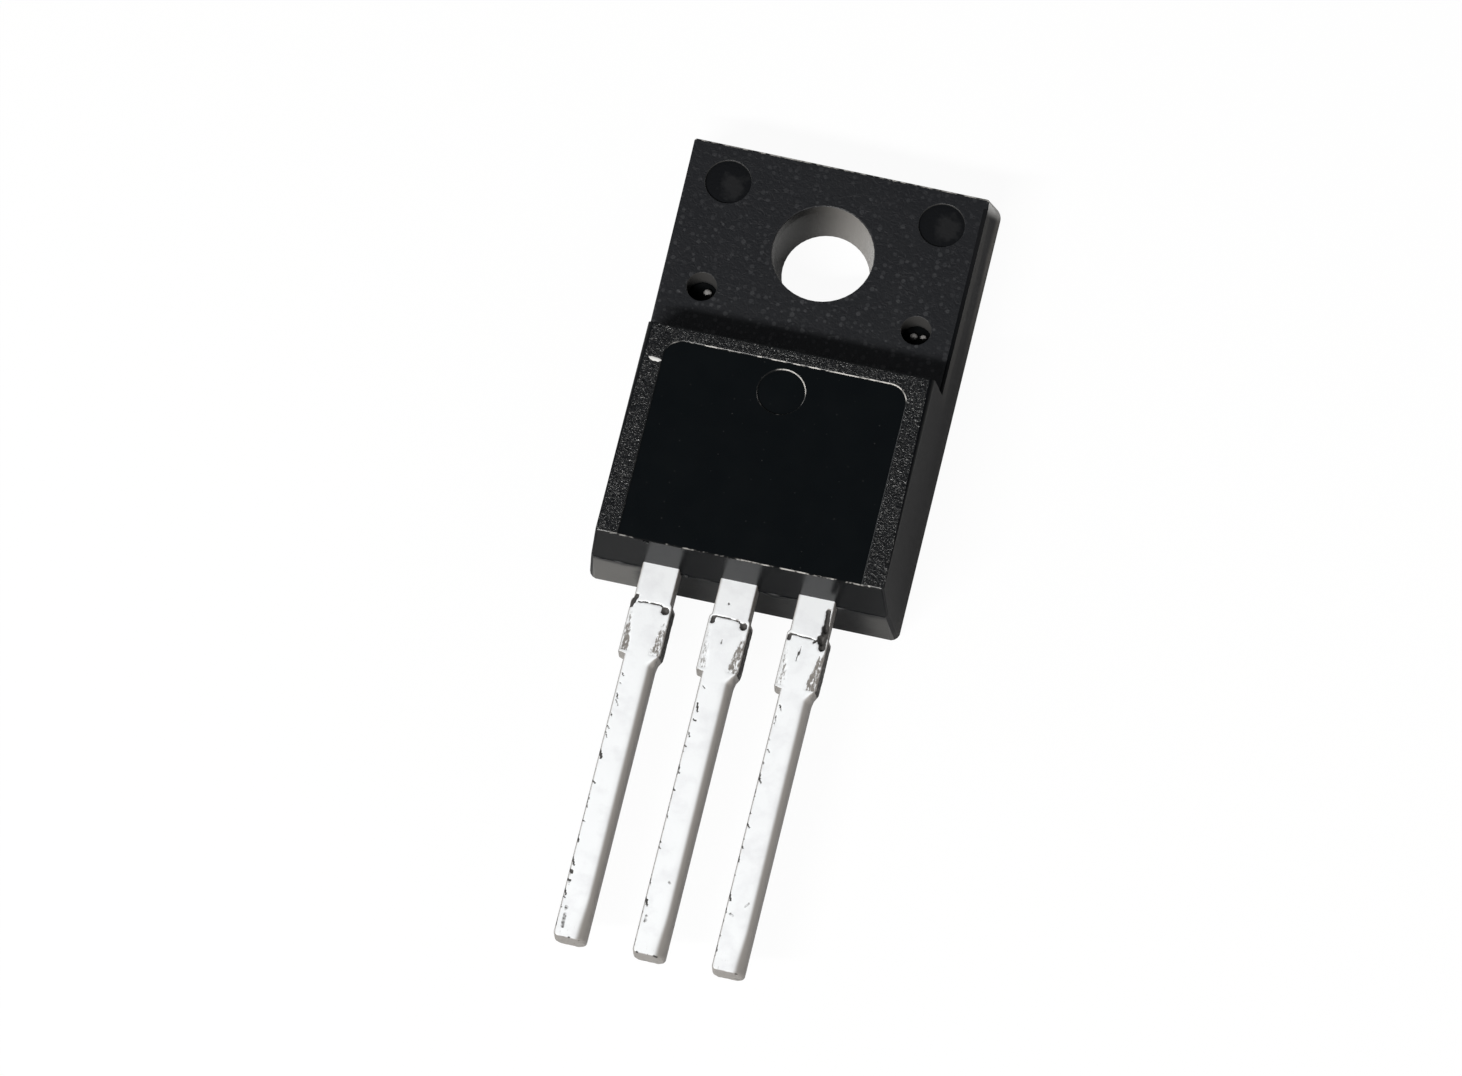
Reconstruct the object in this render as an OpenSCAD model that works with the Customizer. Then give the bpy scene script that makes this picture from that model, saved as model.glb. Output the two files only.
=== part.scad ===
// Power transistor in a fully moulded package with three straight leads.
// It lies on its flat back. The origin is on the axis of the screw hole at the back face,
// +Z is up out of the front, +Y points from the leads to the tab's top edge.

/* [Moulded body] */
// Width of the body across its back face
body_w = 10.2; // [9.8:0.1:11]
// Thickness of the block over the chip
body_t = 4.45; // [4.4:0.05:5.2]
// Thickness of the mounting tab
tab_t = 2.65; // [2.5:0.05:2.9]
// Height of the parting line at the lead end, which is the middle of the leads
parting_z = 2.6; // [2.55:0.05:2.8]
// Screw hole axis to the tab's top edge, at the back face
top_y = 3.8; // [3.4:0.1:4.6]
// Screw hole axis to the lead end, at the parting line
end_y = 11.8; // [11.6:0.1:13]
// Screw hole axis to the foot of the step between tab and block
step_y = 4.05; // [3.7:0.05:4.2]
// Draft of the two sides, in degrees
side_draft = 5.5; // [2:0.5:7]
// Draft of the front half of the lead end, and of the step
end_draft = 7; // [2:1:9]
// Draft of the back half of the lead end
back_draft = 4; // [1:1:6]
// Slope of the tab's top end
top_slope = 19; // [5:1:22]
// Corner radius of the outline at the back face
corner_r = 0.5; // [0.3:0.05:0.8]
// Corner radius that is left at the front edges
edge_r = 0.08; // [0.05:0.01:0.15]

/* [Screw hole] */
// Diameter of the screw hole
hole_d = 3.2; // [3:0.1:3.6]
// Widening of the hole's front rim, on the radius
rim_w = 0.09; // [0.05:0.01:0.2]
// Depth of the widened rim
rim_h = 0.35; // [0.2:0.05:0.6]

/* [Marks in the front] */
// Width of the smooth panel for the type number
panel_w = 7.9; // [6:0.1:8.2]
// Distance from the step's front edge to the panel
panel_gap = 0.45; // [0.3:0.05:0.8]
// Radius of the panel's upper corners
panel_r = 0.6; // [0.3:0.05:0.9]
// Depth of the panel
panel_depth = 0.04; // [0.02:0.01:0.06]
// Diameter of the ejector mark in the panel
panel_mark_d = 1.52; // [1:0.1:2]
// Distance from the panel's top edge to the middle of its ejector mark
panel_mark_y = 1; // [1:0.1:1.6]
// Depth of the ejector marks
mark_depth = 0.07; // [0.04:0.01:0.1]
// Diameter of the two ejector marks in the tab
tab_mark_d = 1.5; // [1:0.1:1.8]
// Height of the tab's ejector marks above the screw hole axis
tab_mark_y = 1.7; // [1.5:0.1:1.9]
// Diameter of the two locating-pin holes, which end on the header plate
pin_d = 0.98; // [0.8:0.02:1.2]
// Distance of the locating-pin holes below the screw hole axis
pin_y = 2.05; // [1.9:0.05:2.3]
// Half the distance between the marks, and between the pin holes
mark_x = 3.53; // [3.4:0.02:3.6]

/* [Leads] */
// Distance between neighbouring leads
pitch = 2.54; // [2.5:0.01:2.7]
// Thickness of a lead
lead_t = 0.7; // [0.5:0.05:0.75]
// Width of a lead where it leaves the body
root_w = 1.2; // [1:0.05:1.3]
// Length of that part
root_l = 1.25; // [1:0.05:1.6]
// Width of the shoulder, where the dam bar was cut off
shoulder_w = 1.35; // [1.32:0.01:1.6]
// Length from the body to the end of the shoulder
shoulder_l = 3.4; // [3:0.1:4]
// Chamfer at the end of the shoulder
shoulder_c = 0.2; // [0.1:0.05:0.3]
// Width of the thin end
lead_w = 0.95; // [0.7:0.05:1]
// Length from the body to the tip
lead_l = 12.9; // [10:0.1:16]
// Radius of the rolled edges
roll_r = 0.14; // [0.08:0.01:0.2]
// Radius of the tip's corners
tip_r = 0.22; // [0.1:0.02:0.35]

/* [Header plate and inner pads] */
// Thickness of the header plate
header_t = 1.2; // [1:0.05:1.25]
// Epoxy behind the header plate
back_cover = 0.6; // [0.5:0.05:0.7]
// Epoxy beside the header plate
side_cover = 1; // [0.9:0.05:1.05]
// Epoxy round the screw hole
hole_cover = 0.9; // [0.7:0.05:1.1]
// Height of the header's two arms above the screw hole axis
arm_y = 0.9; // [0.5:0.1:1.4]
// Distance from the lead end to the header plate
header_gap = 2.5; // [2.4:0.1:2.8]
// Width of the outer leads' inner pads
pad_w = 2.1; // [1.7:0.1:2.3]
// Length of the inner pads
pad_l = 0.9; // [0.8:0.05:1]
// Distance from the lead end to the inner pads
pad_gap = 1.3; // [1.2:0.05:1.4]

/* [Chip and bond wires] */
// Width of the chip, across the body
chip_w = 3.6; // [3.2:0.1:4]
// Length of the chip
chip_l = 3; // [2.6:0.1:3.2]
// Thickness of the chip
chip_t = 0.25; // [0.2:0.01:0.3]
// Thickness of the solder under the chip
solder_t = 0.06; // [0.04:0.01:0.08]
// Solder that shows round the chip
solder_edge = 0.12; // [0.06:0.01:0.2]
// Distance from the header's lower edge to the chip
chip_gap = 0.5; // [0.4:0.05:0.6]
// Diameter of the emitter's bond wires
emitter_wire_d = 0.3; // [0.2:0.02:0.32]
// Distance between the two emitter wires
emitter_wire_gap = 0.8; // [0.7:0.05:0.9]
// Middle of the chip to the middle of the emitter's wires, on the chip
emitter_wire_x = 0.85; // [0.75:0.05:0.95]
// Middle of the chip to the base's wire, on the chip
base_wire_x = 1.2; // [0.8:0.1:1.3]
// Diameter of the base's bond wire
base_wire_d = 0.2; // [0.12:0.02:0.26]
// Rise of the wires above the straight line between their ends
wire_rise = 0.55; // [0.4:0.05:0.6]
// Length of a bonded wire foot
foot_l = 0.5; // [0.4:0.05:0.55]

/* [Hidden] */
$fn = 64;
past = 0.5;                                  // how far a cutting shape runs past what it cuts
slice = 0.01;                                // thickness of the slices that the blank is stretched over
lead_top = parting_z + lead_t / 2;
lead_bottom = parting_z - lead_t / 2;
header_top = back_cover + header_t;
header_y = -end_y + header_gap;              // lower edge of the header plate
header_x = body_w / 2 - side_cover;
pad_y = -end_y + pad_gap;
solder_top = header_top + solder_t;
chip_top = solder_top + chip_t;
chip_y = header_y + chip_gap;                // lower edge of the chip
panel_top = -(step_y + (body_t - tab_t) * tan(end_draft) + panel_gap);
foot_h = 0.2;                                // height of a wire foot
foot_in = 0.45;                              // from a pad's or the chip's edge to the middle of a foot
pad_x = pitch + root_w / 2 - pad_w / 2;      // middle of an outer lead's pad

// Outline of the drafted blank at height z: half width, top and lead end
function half_w(z) = body_w / 2 - z * tan(side_draft);
function top_at(z) = top_y - z * tan(top_slope);
function end_at(z) = -end_y - (parting_z - z) * tan(end_draft);

module outline_slice(z, r) {
    for (side = [-1, 1], y = [top_at(z) - r, end_at(z) + r])
        translate([side * (half_w(z) - r), y, z]) cylinder(r = r, h = slice);
}

// The blank has plane sides. Its corners are round at the back and sharpen towards the front.
module blank() {
    hull() {
        outline_slice(-past, corner_r + (corner_r - edge_r) * past / tab_t);
        outline_slice(tab_t, edge_r);
        outline_slice(body_t + past, edge_r);
    }
}

// Side view: the back half of the lead end, the step, and the plane front and back
module side_view() {
    back_tan = tan(back_draft);
    polygon([
        [-end_y + parting_z * back_tan, 0],
        [-end_y - (body_t - parting_z) * back_tan, body_t],
        [-step_y - (body_t - tab_t) * tan(end_draft), body_t],
        [-step_y, tab_t],
        [top_y + past, tab_t],
        [top_y + past, 0]
    ]);
}

// Lays a drawing whose second axis is height along X, over the width w
module along_x(w) {
    translate([-w / 2, 0, 0]) rotate([90, 0, 90]) linear_extrude(w) children();
}

module screw_hole() {
    translate([0, 0, -past]) cylinder(d = hole_d, h = tab_t + 2 * past);
    translate([0, 0, tab_t - rim_h])
        cylinder(r1 = hole_d / 2, r2 = hole_d / 2 + rim_w * (rim_h + past) / rim_h, h = rim_h + past);
}

module panel() {
    x = panel_w / 2;
    translate([0, 0, body_t - panel_depth]) linear_extrude(past) {
        translate([-x, -end_y - past]) square([panel_w, end_y + past + panel_top - panel_r]);
        translate([-x + panel_r, -end_y - past]) square([panel_w - 2 * panel_r, end_y + past + panel_top]);
        for (side = [-1, 1]) translate([side * (x - panel_r), panel_top - panel_r]) circle(r = panel_r);
    }
}

module front_marks() {
    panel();
    translate([0, panel_top - panel_mark_y, body_t - panel_depth - mark_depth])
        cylinder(d = panel_mark_d, h = past);
    for (side = [-1, 1]) {
        translate([side * mark_x, tab_mark_y, tab_t - mark_depth]) cylinder(d = tab_mark_d, h = past);
        translate([side * mark_x, -pin_y, header_top]) cylinder(d = pin_d, h = tab_t - header_top + past);
    }
}

// One straight bar of a lead, with rolled edges, from y0 down to y1
module lead_bar(w, y0, y1) {
    x = w / 2 - roll_r;
    z = lead_t / 2 - roll_r;
    translate([0, y0, parting_z]) rotate([90, 0, 0]) linear_extrude(y0 - y1) {
        square([w, 2 * z], center = true);
        square([2 * x, lead_t], center = true);
        for (i = [-1, 1], j = [-1, 1]) translate([i * x, j * z]) circle(r = roll_r);
    }
}

// Front view of a lead outside the body, with the shoulder's chamfers and the round tip
module lead_outline() {
    shoulder = shoulder_w / 2;
    thin = lead_w / 2;
    top = -end_y + past * 4;
    polygon([
        [-shoulder, top], [-shoulder, -end_y - shoulder_l + shoulder_c],
        [-shoulder + shoulder_c, -end_y - shoulder_l], [-thin, -end_y - shoulder_l],
        [-thin, -end_y - lead_l + tip_r], [-thin + tip_r, -end_y - lead_l + tip_r],
        [thin - tip_r, -end_y - lead_l + tip_r], [thin, -end_y - lead_l + tip_r],
        [thin, -end_y - shoulder_l], [shoulder - shoulder_c, -end_y - shoulder_l],
        [shoulder, -end_y - shoulder_l + shoulder_c], [shoulder, top]
    ]);
    translate([-thin + tip_r, -end_y - lead_l]) square([lead_w - 2 * tip_r, 2 * tip_r]);
    for (side = [-1, 1]) translate([side * (thin - tip_r), -end_y - lead_l + tip_r]) circle(r = tip_r);
}

// A lead from its tip to y_in inside the body
module lead(y_in) {
    intersection() {
        union() {
            lead_bar(root_w, y_in, -end_y - root_l - past / 2);
            lead_bar(shoulder_w, -end_y - root_l, -end_y - shoulder_l);
            lead_bar(lead_w, -end_y - shoulder_l + past, -end_y - lead_l);
        }
        translate([0, 0, lead_bottom - past]) linear_extrude(lead_t + 2 * past) lead_outline();
    }
}

// Inner end of an outer lead, where its bond wires land, with its middle at x
module pad(x) {
    translate([x - pad_w / 2, pad_y, lead_bottom]) cube([pad_w, pad_l, lead_t]);
}

module header_plate() {
    linear_extrude(header_t) difference() {
        translate([-header_x, header_y]) square([2 * header_x, arm_y - header_y]);
        circle(d = hole_d + 2 * hole_cover);
    }
}

// Side view of the bend between the lead and the header plate
module joggle_view() {
    bend = header_gap - pad_gap;
    polygon([
        [pad_y - past, lead_bottom], [pad_y, lead_bottom],
        [pad_y + bend * 0.8, header_top - lead_t], [header_y + past, header_top - lead_t],
        [header_y + past, header_top], [pad_y + bend * 0.8, header_top],
        [pad_y, lead_top], [pad_y - past, lead_top]
    ]);
}

// A bond wire between the points a and b, bowed upwards, with a flat foot at each end
module bond_wire(a, b, d) {
    span = b - a;
    flat = norm([span[0], span[1]]);
    chord = norm(span);
    r = (chord * chord / 4 + wire_rise * wire_rise) / (2 * wire_rise);
    half = asin(chord / 2 / r);
    up = [0, 0, d / 2 + 0.02];
    translate((a + b) / 2 + up) rotate([0, -atan2(span[2], flat), atan2(span[1], span[0])])
        translate([0, 0, wire_rise - r]) rotate([90, 0, 0]) rotate([0, 0, 90 - half])
            rotate_extrude(angle = 2 * half) translate([r, 0]) circle(d = d);
    for (p = [a, b]) translate(p) rotate([0, 0, atan2(span[1], span[0])])
        translate([-foot_l / 2, -d * 0.7, 0]) cube([foot_l, d * 1.4, foot_h]);
}

module inner_pieces() {
    header_and_collector();
    base_lead();
    emitter_lead();
    die_attach();
    chip();
    base_wire();
    emitter_wire(0);
    emitter_wire(1);
}

module moulded_body() {
    color("#2b2d30") difference() {
        intersection() {
            blank();
            along_x(body_w + 2 * past) side_view();
        }
        screw_hole();
        front_marks();
        inner_pieces();
    }
}

module header_and_collector() {
    color("silver") {
        translate([0, 0, back_cover]) header_plate();
        along_x(root_w) joggle_view();
        lead(pad_y);
    }
}

module base_lead() {
    color("silver") {
        translate([-pitch, 0, 0]) lead(pad_y + pad_l / 2);
        pad(-pad_x);
    }
}

module emitter_lead() {
    color("silver") {
        translate([pitch, 0, 0]) lead(pad_y + pad_l / 2);
        pad(pad_x);
    }
}

module die_attach() {
    color("lightsteelblue")
        translate([-chip_w / 2 - solder_edge, chip_y - solder_edge, header_top])
            cube([chip_w + 2 * solder_edge, chip_l + 2 * solder_edge, solder_t]);
}

module chip() {
    color("dimgray") translate([-chip_w / 2, chip_y, solder_top]) cube([chip_w, chip_l, chip_t]);
}

// Middle of a wire foot on the chip, and on an outer lead's pad
function on_chip(x) = [x, chip_y + foot_in, chip_top];
function on_pad(x) = [x, pad_y + pad_l - foot_in, lead_top];

module base_wire() {
    color("gainsboro") bond_wire(on_chip(-base_wire_x), on_pad(-pad_x), base_wire_d);
}

module emitter_wire(i) {
    x = (i - 0.5) * emitter_wire_gap;
    color("gainsboro") bond_wire(on_chip(emitter_wire_x + x), on_pad(pad_x + x), emitter_wire_d);
}

moulded_body();
header_and_collector();
base_lead();
emitter_lead();
die_attach();
chip();
base_wire();
emitter_wire(0);  // emitter_wire_1
emitter_wire(1);  // emitter_wire_2
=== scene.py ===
# Power transistor in a moulded package, lying on its flat back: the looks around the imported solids.
import math
import bpy
import bmesh
from mathutils import Matrix, Vector, noise


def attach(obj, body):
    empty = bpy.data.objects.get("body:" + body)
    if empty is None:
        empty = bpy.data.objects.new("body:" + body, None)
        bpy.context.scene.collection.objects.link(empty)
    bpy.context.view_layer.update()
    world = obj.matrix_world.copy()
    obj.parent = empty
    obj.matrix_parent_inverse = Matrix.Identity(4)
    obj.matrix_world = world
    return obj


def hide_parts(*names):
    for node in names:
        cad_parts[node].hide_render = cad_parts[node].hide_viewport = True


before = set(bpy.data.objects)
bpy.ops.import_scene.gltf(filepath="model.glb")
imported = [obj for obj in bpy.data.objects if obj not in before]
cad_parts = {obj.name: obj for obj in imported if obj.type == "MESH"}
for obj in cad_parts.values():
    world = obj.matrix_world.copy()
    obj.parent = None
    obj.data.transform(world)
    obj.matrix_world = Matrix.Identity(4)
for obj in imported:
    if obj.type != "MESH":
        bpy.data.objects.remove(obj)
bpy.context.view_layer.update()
mm = 0.001
print("frame loaded:", len(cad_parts), "nodes")


# Helpers for pieces and shaders

def newObject(name, data):
    obj = bpy.data.objects.new(name, data)
    bpy.context.scene.collection.objects.link(obj)
    return obj


def meshObject(bm, name, materials):
    mesh = bpy.data.meshes.new(name)
    bm.to_mesh(mesh)
    bm.free()
    for m in materials:
        mesh.materials.append(m)
    return newObject(name, mesh)


def ridePiece(obj, replaces=()):
    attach(obj, "root")
    for node in replaces:
        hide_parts(node)


def addNode(tree, kind, links=None, **values):
    node = tree.nodes.new(kind)
    for key, value in values.items():
        setattr(node, key, value)
    for socket, source in (links or {}).items():
        if hasattr(source, "default_value") or hasattr(source, "is_output"):
            tree.links.new(source, node.inputs[socket])
        else:
            node.inputs[socket].default_value = source
    return node


def mathNode(tree, operation, a, b=None, clamp=False):
    links = {0: a}
    if b is not None:
        links[1] = b
    return addNode(tree, "ShaderNodeMath", links, operation=operation, use_clamp=clamp).outputs[0]


def noiseOf(tree, vector, scale, detail, rough=0.5, twist=0.0):
    return addNode(tree, "ShaderNodeTexNoise", {"Vector": vector, "Scale": scale, "Detail": detail, "Roughness": rough,
                                                "Distortion": twist}).outputs["Fac"]


def rangeOf(tree, value, start, end, low=0.0, high=1.0, soft=False):
    return addNode(tree, "ShaderNodeMapRange", {"Value": value, "From Min": start, "From Max": end, "To Min": low,
                                                "To Max": high},
                   interpolation_type="SMOOTHSTEP" if soft else "LINEAR").outputs[0]


def stepOf(tree, value, places, low=0.0, high=1.0):
    # A soft step from low to high between two places in mm
    return rangeOf(tree, value, places[0] * mm, places[1] * mm, low, high, soft=True)


def blendOf(tree, factor, low, high):
    node = addNode(tree, "ShaderNodeMix", {"Factor": factor}, data_type="RGBA")
    for socket, colour in (("A", low), ("B", high)):
        if isinstance(colour, tuple):
            node.inputs[socket].default_value = (*colour, 1)
        else:
            tree.links.new(colour, node.inputs[socket])
    return node.outputs["Result"]


def objectCoords(tree):
    return addNode(tree, "ShaderNodeTexCoord").outputs["Object"]


def attributeOf(tree, name):
    return addNode(tree, "ShaderNodeAttribute", attribute_name=name).outputs["Fac"]


def wanderOf(tree, vector, v):
    # A slow unevenness in mm, for the borders of the painted reflections on the sides and the lead end
    cloud = noiseOf(tree, vector, v["cloudScale"], v["cloudDetail"], v["cloudRough"])
    return mathNode(tree, "MULTIPLY", mathNode(tree, "SUBTRACT", cloud, 0.5), v["wander"] * mm)


def dress(tree, shader, colour, height, depth, rough=None):
    # Joins a colour, a bump with its depth in mm and a roughness to the shader
    bump = addNode(tree, "ShaderNodeBump", {"Height": height, "Distance": depth * mm})
    for socket, source in (("Base Color", colour), ("Roughness", rough), ("Normal", bump.outputs[0])):
        if source is not None:
            tree.links.new(source, shader.inputs[socket])


def newMaterial(name, baseColour, roughness, metallic=0.0, specular=0.5):
    mat = bpy.data.materials.new(name)
    mat.use_nodes = True
    shader = mat.node_tree.nodes["Principled BSDF"]
    shader.inputs["Base Color"].default_value = (*baseColour, 1)
    shader.inputs["Roughness"].default_value = roughness
    shader.inputs["Metallic"].default_value = metallic
    shader.inputs["Specular IOR Level"].default_value = specular
    return mat, mat.node_tree, shader


# Camera, lamps and floor

camera = {
    "place": (31.065, -107.429, 269.827),   # mm
    "aim": (-0.586, -10.389, 3.0),
    "roll": 14.097,                         # degrees round the line of sight
    "lens": 221.6,
    "sensor": 36.0,
    "clip": (0.01, 5.0),                    # m
}


def turnTo(place, aim, roll=0.0):
    back = (Vector(place) - Vector(aim)).normalized()
    across = Vector((0, 1, 0)).cross(back).normalized()
    up = back.cross(across)
    turn = Matrix((across, up, back)).transposed()
    return turn @ Matrix.Rotation(math.radians(roll), 3, "Z")


def makeCamera():
    data = bpy.data.cameras.new("camera")
    data.lens = camera["lens"]
    data.sensor_width = camera["sensor"]
    data.sensor_fit = "HORIZONTAL"
    data.clip_start, data.clip_end = camera["clip"]
    obj = newObject("camera", data)
    turn = turnTo(camera["place"], camera["aim"], camera["roll"]).to_4x4()
    obj.matrix_world = Matrix.Translation(Vector(camera["place"]) * mm) @ turn
    bpy.context.scene.camera = obj


makeCamera()
print("camera placed")

# Direction to each lamp from the middle, distance and size in mm, power in watts
lampsMiddle = (0, -8, 2)
lamps = {
    "keyLamp": {"towards": (-0.22, -0.60, 0.77), "away": 300, "wide": 170, "high": 12, "power": 1.10,
                "colour": (1.0, 0.99, 0.97)},
    "topLeftLamp": {"towards": (-0.80, 0.38, 0.46), "away": 320, "wide": 120, "high": 120, "power": 0.13,
                    "colour": (0.94, 0.97, 1.0)},
    "rightFrontLamp": {"towards": (0.85, -0.38, 0.36), "away": 320, "wide": 110, "high": 90, "power": 0.10,
                       "colour": (1.0, 0.98, 0.96)},
    "backRightLamp": {"towards": (0.60, 0.62, 0.30), "away": 320, "wide": 110, "high": 80, "power": 0.16,
                      "colour": (1.0, 0.97, 0.94)},
}


def makeLamps():
    middle = Vector(lampsMiddle)
    for name, v in lamps.items():
        data = bpy.data.lights.new(name, "AREA")
        data.shape = "RECTANGLE"
        data.size = v["wide"] * mm
        data.size_y = v["high"] * mm
        data.energy = v["power"]
        data.color = v["colour"]
        obj = newObject(name, data)
        place = middle + Vector(v["towards"]).normalized() * v["away"]
        obj.matrix_world = Matrix.Translation(place * mm) @ turnTo(place, middle).to_4x4()


makeLamps()

# The floor looks nearly white and keeps a little shadow; metal sees it weaker, and it throws back plain light
surroundings = {
    "worldColour": (0.93, 0.96, 1.0), "worldStrength": 0.055, "floorColour": 0.42, "glossyColour": 0.50,
    "shadowColour": 0.9, "whiteShare": 0.95, "reflectedShare": 0.06, "floorSize": 900,
}


def makeWorld():
    world = bpy.data.worlds.new("studio")
    world.use_nodes = True
    back = world.node_tree.nodes["Background"]
    back.inputs["Color"].default_value = (*surroundings["worldColour"], 1)
    back.inputs["Strength"].default_value = surroundings["worldStrength"]
    bpy.context.scene.world = world


def makeFloor():
    v = surroundings
    bm = bmesh.new()
    bmesh.ops.create_grid(bm, x_segments=1, y_segments=1, size=v["floorSize"] / 2 * mm)
    mat = bpy.data.materials.new("paleFloor")
    mat.use_nodes = True
    nt = mat.node_tree
    nt.nodes.clear()
    ray = addNode(nt, "ShaderNodeLightPath").outputs
    reflected = mathNode(nt, "MAXIMUM", ray["Is Glossy Ray"], ray["Is Transmission Ray"])
    pale = blendOf(nt, reflected, (v["floorColour"],) * 3, (v["glossyColour"],) * 3)
    plain = addNode(nt, "ShaderNodeBsdfDiffuse", {"Color": pale}).outputs[0]
    lit = addNode(nt, "ShaderNodeBsdfDiffuse", {"Color": (*(v["shadowColour"],) * 3, 1)}).outputs[0]
    white = addNode(nt, "ShaderNodeEmission").outputs[0]
    seen = addNode(nt, "ShaderNodeMixShader", {0: v["whiteShare"], 1: lit, 2: white}).outputs[0]
    share = mathNode(nt, "MAXIMUM", ray["Is Camera Ray"], mathNode(nt, "MULTIPLY", reflected, v["reflectedShare"]))
    both = addNode(nt, "ShaderNodeMixShader", {0: share, 1: plain, 2: seen}).outputs[0]
    addNode(nt, "ShaderNodeOutputMaterial", {"Surface": both})
    meshObject(bm, "studioFloor", [mat])


makeWorld()
makeFloor()
print("floor and lamps placed")


# Moulded epoxy

mould = {
    "detail": 2.0, "rough": 0.55, "twist": 0.6, "ridge": -2.0,       # the eroded ridges
    "cloudShare": 0.12, "cloudDetail": 4.0,                          # the slow clouds' scale beside the ridges'
    "sizeSpread": 0.8, "edge": 12.0, "strengthSpread": 0.9,          # the specks
}


def makeMouldGrain():
    # The spark-eroded texture of a mould: its height, slow clouds, and round specks of uneven size
    v = mould
    g = bpy.data.node_groups.new("mouldGrain", "ShaderNodeTree")
    g.interface.new_socket("Vector", in_out="INPUT", socket_type="NodeSocketVector")
    for label, value in (("Scale", 9000.0), ("Speck Scale", 3000.0), ("Speck Size", 0.0)):
        g.interface.new_socket(label, in_out="INPUT", socket_type="NodeSocketFloat").default_value = value
    for label in ("Height", "Specks", "Cloud"):
        g.interface.new_socket(label, in_out="OUTPUT", socket_type="NodeSocketFloat")
    gin, gout = g.nodes.new("NodeGroupInput"), g.nodes.new("NodeGroupOutput")
    vector, scale = gin.outputs["Vector"], gin.outputs["Scale"]
    coarse = noiseOf(g, vector, scale, v["detail"], v["rough"], v["twist"])
    ridges = mathNode(g, "ABSOLUTE", mathNode(g, "SUBTRACT", coarse, 0.5))
    g.links.new(mathNode(g, "MULTIPLY", ridges, v["ridge"]), gout.inputs["Height"])
    broad = noiseOf(g, vector, mathNode(g, "MULTIPLY", scale, v["cloudShare"]), v["cloudDetail"])
    g.links.new(broad, gout.inputs["Cloud"])
    cells = addNode(g, "ShaderNodeTexVoronoi", {"Vector": vector, "Scale": gin.outputs["Speck Scale"],
                                                "Randomness": 1.0}, feature="F1", voronoi_dimensions="2D")
    pick = addNode(g, "ShaderNodeSeparateColor", {"Color": cells.outputs["Color"]})
    size = mathNode(g, "POWER", pick.outputs[0], v["sizeSpread"])
    reach = mathNode(g, "MULTIPLY", size, gin.outputs["Speck Size"])
    inside = mathNode(g, "SUBTRACT", reach, cells.outputs["Distance"])
    strength = mathNode(g, "MULTIPLY", mathNode(g, "MULTIPLY", inside, v["edge"], clamp=True),
                        mathNode(g, "POWER", pick.outputs[1], v["strengthSpread"]))
    g.links.new(strength, gout.inputs["Specks"])
    return g


mouldGrain = makeMouldGrain()


# Finishes of the epoxy. The second colour comes in specks, or along a fade between two places in mm.
epoxyFinishes = {
    # The border's pale specks are painted glints.
    "epoxyBorder": {"colour": (0.0066, 0.0072, 0.0082), "second": (0.10, 0.10, 0.098), "rough": 0.30,
                    "scale": 6300.0, "depth": 0.090, "speckScale": 5200.0, "speckSize": 0.22, "specular": 0.42},
    # The tab's pale specks are painted glints, soft and out of focus.
    "epoxyTab": {"colour": (0.0078, 0.0086, 0.0106), "second": (0.030, 0.031, 0.034), "rough": 0.50,
                 "scale": 5500.0, "depth": 0.018, "speckScale": 4300.0, "speckSize": 0.40, "specular": 0.42},
    "epoxyPanel": {"colour": (0.0016, 0.0026, 0.0034), "second": (0.05, 0.05, 0.05), "rough": 0.28,
                   "scale": 9000.0, "depth": 0.0005, "speckScale": 1500.0, "speckSize": 0.05, "specular": 0.4},
    "epoxyEnd": {"colour": (0.0046, 0.0052, 0.0060), "rough": 0.22, "scale": 7000.0, "depth": 0.001, "specular": 0.10},
    # The outer rounded edges are darker than the sides as a painted dark reflection, and fade paler towards the tab's
    # end.
    "epoxyEdge": {"colour": (0.0026, 0.0032, 0.0040), "second": (0.0090, 0.0095, 0.0105), "fade": (-3.2, 1.6),
                  "fadeAxis": "Y", "rough": 0.34, "scale": 7000.0, "depth": 0.001, "specular": 0.10},
    # The bore fades paler towards +X: painted reflection on the wall's right side and painted shade on its left.
    "epoxyBore": {"colour": (0.007, 0.007, 0.007), "second": (0.34, 0.326, 0.308), "fade": (-1.1, 1.7),
                  "fadeAxis": "X", "rough": 0.20, "scale": 5000.0, "depth": 0.002, "specular": 0.6},
    # The pale finish of the tab's top right corner faces is a painted reflection of the bright floor.
    "epoxyCornerGlare": {"colour": (0.50, 0.50, 0.49), "second": (0.30, 0.29, 0.28), "rough": 0.45,
                  "scale": 5000.0, "depth": 0.004, "speckScale": 4000.0, "speckSize": 0.30, "specular": 0.6},
    "epoxyFilm": {"colour": (0.0020, 0.0026, 0.0032), "rough": 0.45, "scale": 7000.0, "depth": 0.004, "specular": 0.20},
}
roughSpread = 0.06                                                   # either way, from cloud to cloud
speckShare = {"from": 3.5, "to": -2.0, "least": 0.45, "most": 1.1}   # along Y in mm: fewer towards the tab's end; on the tab and border the specks are painted glints


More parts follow.
